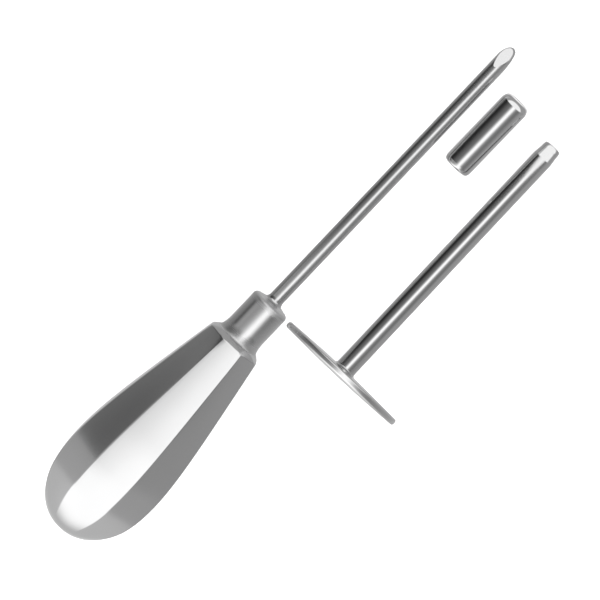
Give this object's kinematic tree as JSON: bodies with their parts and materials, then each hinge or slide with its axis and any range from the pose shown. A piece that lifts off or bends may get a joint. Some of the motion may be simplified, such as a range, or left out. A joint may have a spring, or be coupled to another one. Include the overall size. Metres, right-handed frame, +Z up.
{
  "type": "trocar and cannula",
  "caption": "Trocar with hollow eight-sided pear handle and faceted point, with its loose tube cannula on a round shield and its point cap, laid side by side.",
  "frame": {"origin": "in the table top, under the middle of the box of the three laid-out pieces", "axes": "+X along the trocar, seen from above, from its handle to its point; +Z up; +Y to the side away from the cannula and the cap"},
  "size_m": [0.2446, 0.0824, 0.0526],
  "materials": {
    "satin_steel": "satin steel, finely brushed along the flats",
    "polished_steel": "polished bright steel",
    "plain_steel": "plain turned steel",
    "solder": "smooth silver solder, polished over"
  },
  "bodies": {
    "trocar": {"handle_shell_upper": "satin_steel", "handle_shell_lower": "satin_steel", "neck_ferrule": "satin_steel", "stylet_rod": "polished_steel", "rod_fillet": "solder", "tail_washer": "plain_steel", "tail_nut": "plain_steel"},
    "cannula": {"cannula_tube": "polished_steel", "shield_plate": "polished_steel", "shield_fillet": "solder"},
    "cap": {"cap_sleeve": "polished_steel", "cap_end_plug": "polished_steel"}
  },
  "joints": [
    {"name": "cannula_slide", "type": "slide", "parent": "trocar", "child": "cannula", "axis": [1, 0, 0], "range_m": [0, 0.135]},
    {"name": "cap_slide", "type": "slide", "parent": "cannula", "child": "cap", "axis": [1, 0, 0], "range_m": [0, 0.048]}
  ]
}
